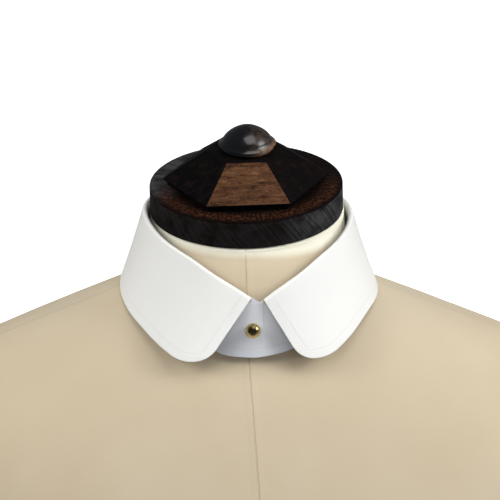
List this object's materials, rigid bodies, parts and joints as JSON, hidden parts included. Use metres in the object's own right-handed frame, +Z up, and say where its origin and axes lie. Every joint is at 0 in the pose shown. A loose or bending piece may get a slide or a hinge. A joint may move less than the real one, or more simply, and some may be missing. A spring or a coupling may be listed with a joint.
{
  "type": "detachable shirt collar on a dress form",
  "caption": "White detachable turn-down shirt collar with rounded points and a ball stud, closed round the neck of a limbless dress form with a dark wooden neck cap.",
  "frame": {"origin": "centre of the flat base of the dress form, which is the middle of the bounding box at z = 0", "axes": "+Z up; the form and the front of the collar face -Y; +X is on the right of someone who looks at the front"},
  "size_m": [0.42, 0.24, 0.5071],
  "materials": {
    "white_cotton": "starched",
    "gilt_brass": "polished",
    "cream_cover": "plain woven cotton",
    "dark_wood": "oiled, semi-gloss"
  },
  "bodies": {
    "root": {"collar_leaf": "white_cotton", "collar_band": "white_cotton", "collar_stud": "gilt_brass", "dress_form": "cream_cover", "neck_cap_disc": "dark_wood", "neck_cap_pyramid": "dark_wood", "neck_cap_knob": "dark_wood"}
  },
  "joints": []
}
